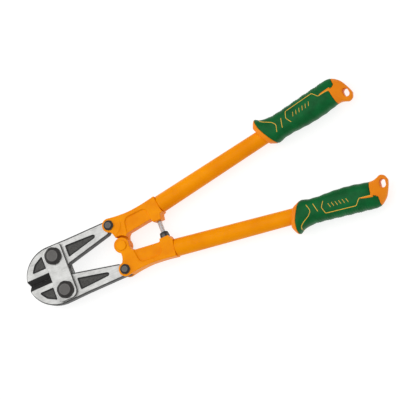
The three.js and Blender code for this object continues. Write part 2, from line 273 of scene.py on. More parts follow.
# Forged tool steel. Flat faces are ground bright with fine lines, the pockets keep the dark
# forging scale and the cutting bevels are blackened; a near-black painted shade lies round each
# pocket, along the faces' edges and over the side walls. The piece's finish attribute says which:
# red for a pocket's floor, green for the painted shade, blue for a cutting bevel.
# A 60 grit belt leaves lines 0.25 mm apart, drawn 0.9 mm apart so that they show.
def groundToolSteel():
    material, tree, shader, place = newMaterial("groundToolSteel", {})
    finishAndShade = addNode(tree, "ShaderNodeAttribute", {"attribute_name": "finishAndShade"}).outputs["Color"]
    pocket, rim, bevel = addNode(tree, "ShaderNodeSeparateColor", {}, {0: finishAndShade}).outputs
    lines = patches(tree, place, 0.9, (14, 1, 14), detail=4.0)
    settings = {"From Min": 0.5, "From Max": 0.8, "To Min": 0, "To Max": 0.45}
    scratched = addNode(tree, "ShaderNodeMapRange", settings, {"Value": lines}).outputs["Result"]
    ground = twoTone(tree, patches(tree, place, 12), "#a2a2a0", "#bdbdbb")
    scale = twoTone(tree, patches(tree, place, 1.8), "#2e2e2c", "#4c4b48")
    black = twoTone(tree, lines, "#141414", "#2a2928")
    # green lays a near-black painted shade over the pocket rims, the edge bands and the walls
    layers = ("#80807e", scratched), (scale, pocket), ("#1d1d1d", rim), (black, bevel)
    colour = laidOver(tree, ground, *layers)
    polished = dress(tree, shader, colour, lines, (0.3, 0.42), lines, 0.02, 0.4)
    settings = {"operation": "DOT_PRODUCT", 1: (1, 1, 1)}
    marked = addNode(tree, "ShaderNodeVectorMath", settings, {0: finishAndShade}).outputs["Value"]
    marked = addNode(tree, "ShaderNodeClamp", {}, {0: marked}).outputs[0]
    settings = {"From Min": 0, "From Max": 1, "To Min": 0.72, "To Max": 0.35}
    metal = addNode(tree, "ShaderNodeMapRange", settings, {"Value": marked}).outputs["Result"]
    tree.links.new(metal, shader.inputs["Metallic"])
    settings, links = {"operation": "MULTIPLY_ADD", 1: 0.2}, {0: marked, 2: polished}
    rough = addNode(tree, "ShaderNodeMath", settings, links).outputs[0]
    tree.links.new(rough, shader.inputs["Roughness"])
    return material


# Heat-treated fasteners, black oxide finish: dark, slightly brown, cloudy over 3 mm, and lighter
# where the wear and highlight attribute says: a little on rubbed edges, more as painted highlight on
# the heads' flat faces and the lock nut's flats.
def blackOxideSteel():
    material, tree, shader, place = newMaterial("blackOxideSteel", {"Metallic": 0.6})
    cloud = patches(tree, place, 3.0, detail=4.0)
    wearAndHighlight = addNode(tree, "ShaderNodeAttribute", {"attribute_name": "wearAndHighlight"}).outputs["Fac"]
    # lighter where the rubbed edges and the painted highlights lie
    colour = laidOver(tree, twoTone(tree, cloud, "#1f1e1e", "#343231"), ("#686664", wearAndHighlight))
    dress(tree, shader, colour, cloud, (0.35, 0.55), patches(tree, place, 0.6), 0.04, 0.5)
    return material


# Zinc-plated steel: bright and slightly blue, with a thin crystalline mottle 1.5 mm across.
def zincPlatedSteel():
    material, tree, shader, place = newMaterial("zincPlatedSteel", {"Metallic": 0.85})
    mottle = patches(tree, place, 1.5, detail=4.0)
    colour = twoTone(tree, mottle, "#b6babd", "#dfe2e4")
    dress(tree, shader, colour, mottle, (0.22, 0.36), mottle, 0.02, 0.3)
    return material


# Opal acrylic sheet on a light table, under the tool: its own glow keeps the shadows faint.
def opalSheet():
    settings = {"Roughness": 0.8, "Emission Color": (1, 1, 1, 1), "Emission Strength": studio["floorGlow"]}
    material, tree, shader, place = newMaterial("opalSheet", settings)
    colour = twoTone(tree, patches(tree, place, 300, detail=2.0), "#8e8e8d", "#949493")
    tree.links.new(colour, shader.inputs["Base Color"])
    return material


enamel = bakedEnamel()
castEnamel = enamelledCasting()
hardPlastic = mouldedPolypropylene()
linePaint = paintedLines()
rubber = overmouldedRubber()
toolSteel = groundToolSteel()
blackSteel = blackOxideSteel()
zincSteel = zincPlatedSteel()


def addFloor():
    reach = studio["floorReach"]
    corners = [(-reach, -reach, 0), (reach, -reach, 0), (reach, reach, 0), (-reach, reach, 0)]
    mesh = bpy.data.meshes.new("floor")
    mesh.from_pydata(corners, [], [(0, 1, 2, 3)])
    floor = bpy.data.objects.new("floor", mesh)
    floor.location.z = cadBox[0][2] - studio["floorGap"] * mm
    bpy.context.collection.objects.link(floor)
    mesh.materials.append(opalSheet())


addCamera()
addLights()
addFloor()
print("camera, lights and floor set")


def loft(rings, closeRows=False):
    # rings is rows x columns x 3 points, each row a closed ring; neighbouring rows are joined by
    # quads, and the first and last row are capped unless the rows close on themselves too
    rows, columns = rings.shape[:2]
    index = np.arange(rows * columns).reshape(rows, columns)
    after = np.roll(index, -1, axis=1)
    if closeRows:
        index = np.vstack([index, index[:1]])
        after = np.vstack([after, after[:1]])
    faces = np.stack([index[:-1], after[:-1], after[1:], index[1:]], axis=-1).reshape(-1, 4).tolist()
    if not closeRows:
        faces += [index[0, ::-1].tolist(), index[-1].tolist()]
    return rings.reshape(-1, 3), faces


def turned(profile, sides=64):
    # the [radius, height] profile turned about Z
    radius, height = np.array(profile, float).T
    angle = np.linspace(0, 2 * np.pi, sides, endpoint=False)
    rings = np.empty((len(radius), sides, 3))
    rings[..., 0] = radius[:, None] * np.cos(angle)
    rings[..., 1] = radius[:, None] * np.sin(angle)
    rings[..., 2] = height[:, None]
    return loft(rings)


def moved(shell, place=(0, 0, 0), turn=None):
    points, faces = shell
    if turn is not None:
        points = points @ np.array(turn).T
    return points + np.array(place), faces


def addPiece(name, shells, material, body, replaced, lower=False, tint=None, crease=35):
    # shells are (points, faces) in millimetres round the pivot; tint is (attribute, values)
    start, points, faces = 0, [], []
    for cloud, polygons in shells:
        points.append(cloud)
        faces += [[corner + start for corner in polygon] for polygon in polygons]
        start += len(cloud)
    points = np.vstack(points)
    if lower:
        points = points * (1, -1, -1)
    mesh = bpy.data.meshes.new(name)
    mesh.from_pydata((points * mm + origin).tolist(), [], faces)
    if tint is not None:
        kind = "FLOAT_COLOR" if tint[1].ndim == 2 else "FLOAT"
        layer = mesh.attributes.new(tint[0], kind, "POINT")
        field = "color" if kind == "FLOAT_COLOR" else "value"
        layer.data.foreach_set(field, tint[1].ravel().astype(np.float32))
    work = bmesh.new()
    work.from_mesh(mesh)
    bmesh.ops.remove_doubles(work, verts=work.verts, dist=0.002 * mm)
    bmesh.ops.recalc_face_normals(work, faces=work.faces)
    work.to_mesh(mesh)
    work.free()
    mesh.shade_smooth()
    mesh.set_sharp_from_angle(angle=math.radians(crease))
    mesh.materials.append(material)
    thing = bpy.data.objects.new(name, mesh)
    bpy.context.collection.objects.link(thing)
    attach(thing, body)
    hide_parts(*replaced)
    return thing


def rounded(corners, steps=8):
    # a closed outline of [x, y, radius] corners, each turned through an arc of that radius
    outline = []
    count = len(corners)
    for i in range(count):
        here = np.array(corners[i][:2], float)
        back = np.array(corners[i - 1][:2]) - here
        ahead = np.array(corners[(i + 1) % count][:2]) - here
        back, ahead = back / np.linalg.norm(back), ahead / np.linalg.norm(ahead)
        half = np.arccos(np.clip(back @ ahead, -1, 1)) / 2
        reach = corners[i][2] / np.tan(half)
        middle = here + (back + ahead) / np.linalg.norm(back + ahead) * corners[i][2] / np.sin(half)
        first, last = here + back * reach - middle, here + ahead * reach - middle
        sweep = np.arctan2(first[0] * last[1] - first[1] * last[0], first @ last)
        angle = np.linspace(0, sweep, steps)
        cosine, sine = np.cos(angle), np.sin(angle)
        turn = np.stack([cosine, -sine, sine, cosine], -1).reshape(-1, 2, 2)
        outline.append(middle + turn @ first)
    return np.vstack(outline)


def inset(outline, depth):  # the closed outline moved to its own inside by depth
    ahead = np.roll(outline, -1, axis=0) - np.roll(outline, 1, axis=0)
    ahead /= np.linalg.norm(ahead, axis=1, keepdims=True)
    normal = np.stack([-ahead[:, 1], ahead[:, 0]], axis=1)
    (x, y), (nextX, nextY) = outline.T, np.roll(outline, -1, axis=0).T
    return outline + normal * depth * np.sign(np.sum(x * nextY - y * nextX))


def slab(outline, low, high, ease):
    # the outline carried from low to high, its upper and lower edges eased by a quarter round
    angle = np.linspace(0, np.pi / 2, 4)
    depth = np.concatenate([ease * (1 - np.sin(angle)), ease * (1 - np.sin(angle[::-1]))])
    rise = ease * (1 - np.cos(angle))
    height = np.concatenate([low + rise, high - rise[::-1]])
    rings = np.empty((len(depth), len(outline), 3))
    for row, (inward, level) in enumerate(zip(depth, height)):
        rings[row, :, :2] = inset(outline, inward)
        rings[row, :, 2] = level
    return loft(rings)


def smoothstep(value, low, high):  # 0 below low, 1 above high and a smooth cubic between
    t = np.clip((value - low) / (high - low), 0, 1)
    return t * t * (3 - 2 * t)


def insideDistance(x, y, outline):
    # distance to the nearest side of the closed outline, above zero inside it, which is where a
    # line to the right crosses the sides an odd number of times
    nearest = np.full(x.shape, 1e9)
    crossings = np.zeros(x.shape, int)
    for (ax, ay), (bx, by) in zip(outline, np.roll(outline, -1, axis=0)):
        acrossX, acrossY = bx - ax, by - ay
        along = ((x - ax) * acrossX + (y - ay) * acrossY) / (acrossX**2 + acrossY**2 + 1e-12)
        along = np.clip(along, 0, 1)
        away = np.hypot(x - ax - along * acrossX, y - ay - along * acrossY)
        nearest = np.minimum(nearest, away)
        if ay != by:
            crossings += ((ay > y) != (by > y)) & (x < ax + (y - ay) * acrossX / acrossY)
    return np.where(crossings % 2 == 1, nearest, -nearest)


jawSizes = {  # mm, and radians for the turns
    "half": 5.5,  # half the thickness
    "headX": -88.5,  # where the round head's widest point lies
    "headLength": 37.3,
    "headWidth": 35.5,
    "tipY": 5.4,
    "notch": 1.8,  # how far the tips' inner corners lie behind the outer ones
    "meet": 0.15,  # from the middle to the closed blades' edge
    "bladeEnd": 3.6,  # how far behind the bolt the blade and its bevel run
    "toothRadius": 3.0,  # on the upper jaw, under the strap
    "socketRadius": 3.5,  # on the lower jaw, round the tooth
    "bevel": 6.3,  # width of the cutting bevel
    "edgeHalf": 1.2,  # half the thickness left at the cutting edge
    "crotch": (-67.5, 6.2),
    "armInner": (-12.0, 18.6),
    "armOuter": (-60.0, 34.8),
    "tailRadius": 7.2,
    "tailTurns": (1.9, -0.05, -2.0),  # round the pin: back side, tail's end, blade side
    "pocketDepth": 1.2,
    "ease": 0.4,
    "rows": (94, 143, 32),  # along the head, the arm and the tail
    "across": 84,
}


def pocketOutlines():
    front = rounded([(-97.6, 27.6, 0.8), (-97.4, 12.4, 0.8), (-115.4, 12.4, 1.2), (-109, 21.5, 9.0)])
    rear = rounded([(-65.4, 28.0, 0.8), (-65.4, 13.8, 0.8), (-27.4, 22.3, 3.2), (-27.0, 26.2, 2.6)])
    return front, rear


def jawPlan(tooth):
    # matching points of the blade side and of the back, from the tip round to the tail's end
    size = jawSizes
    boltX = boltSpot[0]
    headRows, armRows, tailRows = size["rows"]
    backTurn, endTurn, bladeTurn = size["tailTurns"]
    tipAngle = np.arcsin(size["tipY"] / size["headWidth"])
    sweep = np.linspace(tipAngle, np.pi / 2, headRows)
    headX = size["headX"] - size["headLength"] * np.cos(sweep)
    headY = size["headWidth"] * np.sin(sweep)

    def roundPin(turn):
        return pinSpot[:2] + size["tailRadius"] * np.stack([np.cos(turn), np.sin(turn)], -1)

    tailStart = roundPin(backTurn)
    armX = np.linspace(size["headX"], tailStart[0], armRows)[1:]
    knots = [(size["headX"], size["headWidth"]), size["armOuter"], tuple(tailStart)]
    armY = np.interp(armX, *zip(*knots))
    backX, backY = np.concatenate([headX, armX]), np.concatenate([headY, armY])
    tip = headX[0]
    hookStart = roundPin(bladeTurn)
    notched = tip + size["notch"]
    bladeX = notched + (backX - tip) * (hookStart[0] - notched) / (backX[-1] - tip)
    knots = [
        (tip, size["meet"]), (boltX - size["bladeEnd"], size["meet"]), (boltX + size["bladeEnd"], 0.6),
        size["crotch"], size["armInner"], tuple(hookStart),
    ]
    bladeY = np.interp(bladeX, *zip(*knots))
    offset = np.abs(bladeX - boltX)
    bite, sign = (size["toothRadius"], -1) if tooth else (size["socketRadius"], 1)
    arc = sign * np.sqrt(np.maximum(bite**2 - offset**2, 0))
    bladeY = np.where(offset < bite, arc, bladeY)
    steps = np.linspace(0, 1, tailRows)[1:]
    back = np.vstack([
        np.stack([backX, backY], 1),
        roundPin(backTurn + (endTurn - backTurn) * steps),
    ])
    blade = np.vstack([
        np.stack([bladeX, bladeY], 1),
        roundPin(bladeTurn + (endTurn - bladeTurn) * steps),
    ])
    return blade, back


def jawShell(tooth):
    # a ring of points across the jaw for each pair of plan points: over the top face from blade to
    # back, down the back, under the bottom face and up the blade side. The faces' height is the
    # full half thickness, less the pockets and less the slope of the cutting bevel.
    size = jawSizes
    blade, back = jawPlan(tooth)
    span = np.linalg.norm(back - blade, axis=1)
    share = np.linspace(0, 1, size["across"])
    edge = np.minimum(size["ease"] / np.maximum(span, 1e-6), 0.5)[:, None]
    share = edge + share * (1 - 2 * edge)
    plan = blade[:, None] + (back - blade)[:, None] * share[..., None]
    x, y = plan[..., 0], plan[..., 1]
    # rim is painted shade: a dark band round each pocket's edge and along the faces' outer edges
    pocket, rim = np.zeros(x.shape), np.zeros(x.shape)
    for outline in pocketOutlines():
        depth = insideDistance(x, y, outline)
        pocket = np.maximum(pocket, smoothstep(depth, -0.1, 0.5))
        rim = np.maximum(rim, smoothstep(depth, -0.5, 0.0) * (1 - smoothstep(depth, 1.2, 2.0)))
    fromEdge = np.minimum(share, 1 - share) * span[:, None]
    # painted shade along the faces' outer edges, about 1.1 to 1.7 mm wide
    rim = np.maximum(rim, 0.92 * (1 - smoothstep(fromEdge, 1.1, 1.7)))
    front = x < boltSpot[0] + size["bladeEnd"]
    drop = size["half"] - size["edgeHalf"]
    slope = drop / size["bevel"]
    bevel = np.where(front, np.clip((size["bevel"] - y) * slope, 0, drop), 0)
    height = size["half"] - size["pocketDepth"] * pocket - bevel
    black = np.where(front, smoothstep(size["bevel"] - y, -0.2, 0.2), 0)
    wallEase = np.minimum(size["ease"], height * 0.5)
    top = np.dstack([x, y, height])
    backWall = np.stack([
        np.column_stack([back, height[:, -1] - wallEase[:, -1]]),
        np.column_stack([back, wallEase[:, -1] - height[:, -1]]),
    ], axis=1)
    bladeWall = np.stack([
        np.column_stack([blade, wallEase[:, 0] - height[:, 0]]),
        np.column_stack([blade, height[:, 0] - wallEase[:, 0]]),
    ], axis=1)
    rings = np.concatenate([top, backWall, top[:, ::-1] * (1, 1, -1), bladeWall], axis=1)
    finishAndShade = np.zeros((*rings.shape[:2], 4))
    finishAndShade[..., 3] = 1
    face = np.dstack([pocket, rim, black])
    # the side walls are painted dark as shade
    wall = np.tile([0.0, 0.9, 0.0], (len(blade), 2, 1))
    finishAndShade[..., :3] = np.concatenate([face, wall, face[:, ::-1], wall], axis=1)
    return loft(rings), finishAndShade.reshape(-1, 4)


def addJaw(side):
    shell, finishAndShade = jawShell(side == "upper")
    name = f"{side}_jaw"
    tint = ("finishAndShade", finishAndShade)
    addPiece(
        f"{name}_ground", [shell], toolSteel, f"jaw_{side}", [name], side == "lower", tint
    )


for side in ("upper", "lower"):
    addJaw(side)
print("jaws made")


strapSizes = {  # mm
    "halfLength": 12.4,
    "halfWidth": 33.4,
    "tight": 3.0,  # corner radii, each used on two opposite corners
    "wide": 9.0,
    "low": 5.8,  # from the middle to the face against the jaws
    "thick": 4.0,
    "ease": 0.5,
    "wallShade": 0.8,  # how dark the walls are painted, as shade
}


def addStrap(name, sign):
    # a slab with rounded corners, over the jaws for sign 1 and under them for -1, its walls painted
    # dark as shade
    size = strapSizes
    x, y = size["halfLength"], size["halfWidth"]
    corners = [
        (boltSpot[0] + a * x, b * y, size["tight" if a == b else "wide"])
        for a, b in ((1, -1), (1, 1), (-1, 1), (-1, -1))
    ]
    thick = size["thick"]
    points, faces = slab(rounded(corners, 10), size["low"], size["low"] + thick, size["ease"])
    points = points * (1, 1, sign)
    # the walls get painted shade in the green channel
    onWall = np.abs(np.abs(points[:, 2]) - size["low"] - thick / 2) < thick / 2 - 0.12
    finishAndShade = np.zeros((len(points), 4))
    finishAndShade[:, 1] = size["wallShade"] * onWall
    shell, tint = (points, faces), ("finishAndShade", finishAndShade)
    addPiece(f"{name}_ground", [shell], toolSteel, "strap", [name], tint=tint)


addStrap("top_strap", 1)
addStrap("bottom_strap", -1)

fastenerSizes = {
    # width over flats, head height, radius of the head's flat face, and degrees from X to the
    # middle of a flat; on a bolt also its shank's radius and the level that its head stands on, and
    # on the lock nut how light its flats are painted, a painted highlight
    "strapBolt": {"flats": 20.4, "height": 4.4, "face": 6.8, "turn": 4.5, "shank": 6.0, "seat": 10.1},
    "strapNut": {"flats": 20.4, "height": 4.4, "face": 8.6, "turn": 4.5},
    "jawPin": {"flats": 11.6, "height": 2.6, "face": 3.7, "turn": 4.5, "shank": 3.5, "seat": 9.3},
    "jawPinNut": {"flats": 11.6, "height": 3.2, "face": 4.4, "turn": 4.5},
    "pivotNut": {"flats": 15.0, "height": 3.2, "face": 5.8, "turn": 0.0},
    "lockNut": {"flats": 11.0, "height": 6.4, "face": 4.8, "turn": 30.0, "flatHighlight": 0.7},
}


def hexHead(kind, bore=0.0, sides=96):
    # a hexagon standing on z = 0: its wall lies at half the flats over the cosine of the angle from
    # the flat's middle, turned down to a rim, and a cone runs from the wall up to the round face.
    # A row is its radius, its height and how light it is: a little on the rubbed edges, and a painted
    # highlight on the face's rim and the face. With a bore, the rows go on down inside it and back to
    # the start.
    size = fastenerSizes[kind]
    flats, height, face = size["flats"], size["height"], size["face"]
    angle = np.linspace(0, 2 * np.pi, sides, endpoint=False)
    fromFlat = (angle - math.radians(size["turn"]) + np.pi / 6) % (np.pi / 3) - np.pi / 6
    rim = flats * 0.52
    wall = np.minimum(flats / 2 / np.cos(fromFlat), rim)
    slope = 0.6 * height / (rim - face)
    shoulder = np.minimum(height - (wall - face) * slope, height - 0.3)
    one = np.ones(sides)
    dished = (height - 0.06) * one
    # third value: a little on the rubbed edges, and painted highlight on the face's rim and dished face
    rows = [
        (wall - 0.3, 0 * one, 0),
        (wall, 0.3 * one, 0),
        (wall, shoulder - 0.25, 0.1),
        (wall - 0.15, shoulder, 0.3),
        ((wall + face) / 2, (shoulder + height) / 2, 0.05),
        (face * one, (height - 0.15) * one, 0.2),
        ((face - 0.35) * one, height * one, 0.9),
        ((face - 1.1) * one, dished, 0.55),
    ]
    if bore:
        rows += [
            ((bore + 0.5) * one, dished, 0.55),
            (bore * one, (height - 0.5) * one, 0.2),
            (bore * one, 0 * one, 0),
        ]
    else:
        rows = [(0 * one, 0 * one, 0), *rows, (0 * one, dished, 0.55)]
    radius, tall = np.array([row[0] for row in rows]), np.array([row[1] for row in rows])
    rings = np.dstack([radius * np.cos(angle), radius * np.sin(angle), tall])
    wearAndHighlight = np.repeat([[row[2]] for row in rows], sides, axis=1)
    # painted highlight on the middle of each flat
    flatRows = slice(1, 4)
    onFlat = 1 - smoothstep(np.abs(fromFlat), 0.3, 0.42)
    wearAndHighlight[flatRows] = np.maximum(wearAndHighlight[flatRows], size.get("flatHighlight", 0) * onFlat)
    return loft(rings, closeRows=bool(bore)), wearAndHighlight.ravel()


def threadedRod(radius, pitch, length, depth, sides=48, steps=10):
    # a rod from z = 0 whose radius dips in a triangle wave of the height less the turn round it
    tall = np.linspace(0, length, int(length / pitch * steps))[:, None]
    angle = np.linspace(0, 2 * np.pi, sides, endpoint=False)
    phase = (tall / pitch - angle / (2 * np.pi)) % 1
    fade = np.clip(np.minimum(tall, length - tall) / (0.6 * pitch), 0, 1)
    wide = radius - depth * (1 - np.abs(2 * phase - 1)) - 0.5 * (1 - fade)
    rings = np.dstack([wide * np.cos(angle), wide * np.sin(angle), tall + 0 * angle])
    return loft(rings)


overturned = np.diag([1, -1, -1])
boreRoom = 0.2  # mm between a shank and its nut's bore
alongY = np.array([[1, 0, 0], [0, 0, 1], [0, -1, 0]])  # carries +Z to +Y


def addFastener(name, shells, wearAndHighlight, body):
    # the wear and highlight values belong to the first shell, and the others have none
    plain = np.zeros(sum(len(shell[0]) for shell in shells) - len(wearAndHighlight))
    tint = ("wearAndHighlight", np.concatenate([wearAndHighlight, plain]))
    addPiece(f"{name}_finished", shells, blackSteel, body, [name], tint=tint)


def addBoltAndNut(name, bolt, nut, x, y, body):
    # the bolt's head on top with its shank down to just inside the nut, and the nut below
    size = fastenerSizes[bolt]
    head, wearAndHighlight = hexHead(bolt)
    low = -size["seat"] - fastenerSizes[nut]["height"] + 0.3
    chamfer = 0.7
    radius, seat = size["shank"], size["seat"]
    profile = [(0, low), (radius - chamfer, low), (radius, low + chamfer), (radius, seat), (0, seat)]
    shells = [moved(head, (x, y, seat)), moved(turned(profile, 48), (x, y, 0))]
    addFastener(name, shells, wearAndHighlight, body)
    ring, wearAndHighlight = hexHead(nut, bore=radius + boreRoom)
    nutName = f"{name}_nut" if bolt == "jawPin" else name.replace("bolt", "nut")
    addFastener(nutName, [moved(ring, (x, y, -seat), overturned)], wearAndHighlight, body)


for side, sign in (("upper", 1), ("lower", -1)):
    boltX, boltY = boltSpot[0], sign * boltSpot[1]
    addBoltAndNut(f"{side}_strap_bolt", "strapBolt", "strapNut", boltX, boltY, "strap")
    pinX, pinY = pinSpot[0], sign * pinSpot[1]
    addBoltAndNut(f"{side}_jaw_pin", "jawPin", "jawPinNut", pinX, pinY, f"handle_{side}")

pivotSizes = {  # mm
    "cap": 6.2,
    "seat": 9.3,  # level that the cap stands on
    "wall": 0.7,  # height of the cap's straight wall
    "edgeWide": 0.9,  # its edge is a quarter of an ellipse, this wide and tall
    "edgeTall": 0.7,
    "crown": 0.3,  # its top's dome
    "shank": 4.0,
    "end": 12.2,
}


def addCentrePivot():
    # the cap turned from a wall, a quarter ellipse and a shallow parabola, on a plain shank
    size = pivotSizes
    radius, seat = size["shank"], size["seat"]
    flank, top = seat + size["wall"], seat + size["wall"] + size["edgeTall"]
    inner = size["cap"] - size["edgeWide"]
    turn = np.linspace(0, np.pi / 2, 8)
    edge = np.stack([inner + size["edgeWide"] * np.cos(turn), flank + size["edgeTall"] * np.sin(turn)], 1)
    across = np.array([4.4, 3.0, 1.5, 0.0])
    crown = np.stack([across, top + size["crown"] * (1 - (across / inner) ** 2)], 1)
    cap = turned(np.vstack([[(0, seat), (size["cap"], seat)], edge, crown]))
    shank = turned([(0, -size["end"]), (radius, -size["end"]), (radius, seat), (0, seat)], 48)
    node = "centre_pivot_bolt"
    addPiece(f"{node}_enamelled", [cap, shank], castEnamel, "handle_lower", [node])
    ring, wearAndHighlight = hexHead("pivotNut", bore=radius + boreRoom)
    addFastener("centre_pivot_nut", [moved(ring, (0, 0, -seat), overturned)], wearAndHighlight, "handle_lower")


addCentrePivot()

stopSizes = {  # mm
    "radius": 3.0,
    "pitch": 1.25,
    "depth": 0.4,  # of the thread
    "nutFrom": -11.2,  # Y of the lock nut's face on the casting
    "nutRoom": 0.15,
}


def addStopScrew():
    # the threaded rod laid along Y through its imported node's length, with the lock nut round it
    size = stopSizes
    low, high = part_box("stop_screw")
    start, end = (low[1] - origin[1]) / mm, (high[1] - origin[1]) / mm
    rod = threadedRod(size["radius"], size["pitch"], end - start, size["depth"])
    screw = moved(rod, (screwSpot[0], start, 0), alongY)
    node = "stop_screw"
    addPiece(f"{node}_threaded", [screw], zincSteel, node, [node], crease=60)
    ring, wearAndHighlight = hexHead("lockNut", bore=size["radius"] + size["nutRoom"])
    nut = moved(ring, (screwSpot[0], size["nutFrom"], 0), alongY)
    addFastener("stop_lock_nut", [nut], wearAndHighlight, "handle_lower")


addStopScrew()
print("straps, bolts, pins and stop screw made")


castingSizes = {
    "voxel": 0.5,  # mm, grid of the cast surface
    "smoothing": 7,  # passes that soften its edges
    # hollow on the upper face between the boss round the jaw pin and the window side's raised edge
    "neck": {"boss": 14.3, "edgeX": 9.2, "edgeLean": 0.255, "from": 24.0, "to": 32.0, "sink": 0.7},
}


def sinkNeck(cast):
    # the upper face drops by the sink where it lies outside the boss's circle round the jaw pin and
    # left of the leaning edge, and rises again between the from and to distances out from the middle
    size = castingSizes["neck"]
    points = np.empty(len(cast.vertices) * 3)
    cast.vertices.foreach_get("co", points)
    points = points.reshape(-1, 3)
    x, y, z = ((points - origin) / mm).T
    fromPin = np.hypot(x - pinSpot[0], y - pinSpot[1])
    share = smoothstep(fromPin, size["boss"], size["boss"] + 0.8)
    share = share * (1 - smoothstep(x - size["edgeX"] - size["edgeLean"] * y, -0.5, 0.5))
    share = share * (1 - smoothstep(y, size["from"], size["to"]))
    points[:, 2] -= size["sink"] * mm * share * smoothstep(z, 5, 9)
    cast.vertices.foreach_set("co", points.ravel())


def addCasting(side):
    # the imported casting's solid, its edges and inner corners run soft as in a sand mould
    node = f"{side}_handle_casting"
    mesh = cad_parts[node].data.copy()
    work = bmesh.new()
    work.from_mesh(mesh)
    bmesh.ops.remove_doubles(work, verts=work.verts, dist=0.01 * mm)
    work.to_mesh(mesh)
    work.free()
    thing = bpy.data.objects.new(f"{node}_cast", mesh)
    bpy.context.collection.objects.link(thing)
    remesh = thing.modifiers.new("castGrid", "REMESH")
    remesh.mode = "VOXEL"
    remesh.voxel_size = castingSizes["voxel"] * mm
    soften = thing.modifiers.new("moulded", "SMOOTH")
    soften.factor = 0.5
    soften.iterations = castingSizes["smoothing"]
    cast = bpy.data.meshes.new_from_object(thing.evaluated_get(bpy.context.evaluated_depsgraph_get()))
    thing.modifiers.clear()
    thing.data = cast
    if side == "upper":
        sinkNeck(cast)
    cast.name = thing.name
    cast.materials.clear()
    cast.materials.append(castEnamel)
    cast.shade_smooth()
    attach(thing, f"handle_{side}")
    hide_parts(node)


for side in ("upper", "lower"):
    addCasting(side)
print("castings made")


handleSizes = {"startX": 59.0, "startY": 27.6, "angle": 8.9}  # mm, and degrees out from X
tubeSizes = {  # mm
    "front": 10.6,  # radius at the casting
    "rear": 9.4,  # radius from the taper's end on
    "taperEnd": 145.0,
    "end": 236.0,
    "wall": 1.7,
    "gap": 0.3,  # between the casting and the tube
    "lip": 0.9,  # how far the front edge turns in
    "pinAt": 26.0,
    "dent": 0.55,
    "dentRadius": 3.7,
    "dentFloor": 0.62,  # share of the radius where the dent is at its full depth
}


def onHandle(along, out, up):
    # handle coordinates (along the tube, outwards from the middle, up) to the tool's own
    angle = math.radians(handleSizes["angle"])
    x = handleSizes["startX"] + along * math.cos(angle) - out * math.sin(angle)
    y = handleSizes["startY"] + along * math.sin(angle) + out * math.cos(angle)
    return np.stack([x, y, up], axis=-1)


def tubeShell():
    # the radius falls evenly to the taper's end and then stays, and a shallow dish is pressed in
    # round the pin on both faces; the rings run back inside to close the wall
    size = tubeSizes
    along = np.concatenate([[size["gap"]], np.linspace(size["gap"] + size["lip"], size["end"], 240)])
    angle = np.linspace(0, 2 * np.pi, 72, endpoint=False)
    radius = np.interp(along, [0, size["taperEnd"]], [size["front"], size["rear"]])
    radius[0] -= size["lip"]
    inner = np.interp(along, [0, size["taperEnd"]], [size["front"], size["rear"]])[::-1] - size["wall"]
    s = np.concatenate([along, along[::-1]])[:, None] + 0 * angle
    r = np.concatenate([radius, inner])[:, None] + 0 * angle
    away = np.hypot(s - size["pinAt"], r * np.cos(angle))
    floor = size["dentRadius"] * size["dentFloor"]
    r -= size["dent"] * (1 - smoothstep(away, floor, size["dentRadius"]))
    rings = onHandle(s, r * np.cos(angle), r * np.sin(angle))
    return loft(rings, closeRows=True)


for side in ("upper", "lower"):
    node = f"{side}_handle_tube"
    body, lower = f"handle_{side}", side == "lower"
    addPiece(f"{node}_enamelled", [tubeShell()], enamel, body, [node], lower)
    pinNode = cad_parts[f"{side}_tube_pin"]
    pinNode.data.materials.clear()
    pinNode.data.materials.append(enamel)
print("tubes made")


gripSizes = {  # mm
    # rings of the grip in handle coordinates: outer point, inner point and half thickness
    "rings": [
        (142.1, 14.2, 150.2, -11.2, 11.8), (143.4, 16.6, 152, -12.2, 13), (148.7, 22.1, 156.6, -14.8, 14.6),
        (153.8, 18.5, 160.3, -15.8, 14.6), (159.1, 16.4, 163.4, -15.5, 14.3), (168, 15, 168.6, -14.8, 13.8),
        (180, 14.7, 180, -15, 13.6), (195, 15, 195, -16.6, 14), (210, 15.4, 210, -17.4, 14.4),
        (226, 15.6, 226, -17.2, 14.5), (238, 15.7, 236, -16.3, 14), (245.5, 15.3, 242.5, -15.9, 12.2),
        (250.5, 13.8, 247.8, -16.6, 9.6), (255.5, 9.6, 252.3, -18.8, 7.2), (259, 4.9, 255.5, -20.6, 5.8),
        (261.8, -2.5, 258.9, -20.2, 5), (263.5, -8.7, 261.8, -18.2, 4.4), (264.1, -12.4, 263.7, -14.6, 3),
    ],
    "square": 0.8,  # power of the rings' sine and cosine: 1 is an ellipse, less is squarer
    "columns": 144,  # points round each ring
    "coverFront": [(148.5, 16.4), (149.2, 9.3), (151.4, 1.4), (153.9, -5.5), (155.4, -9.9), (158, -15.2)],
    "innerLobe": (242.5, 1.2),  # how far along the cover's inner lobe ends, and how far out it stops
    "outerLobe": (250.3, 3.8),
    "lobeCorner": 2.2,
    "coverThick": 1.7,
    "coverUnder": 0.7,  # how far the cover's inside lies below the core's surface
    "coverEdge": 0.9,
    "band": [(231, 1.9), (236, 2.3), (245, 2.5)],  # strip of the core that shows between the lobes
    "bandWidth": (1.2, 3.0),
    "hole": {"along": 257.8, "out": -10.1, "radius": 3.5, "half": 5.2, "flare": 1.1, "sink": 0.9},
}


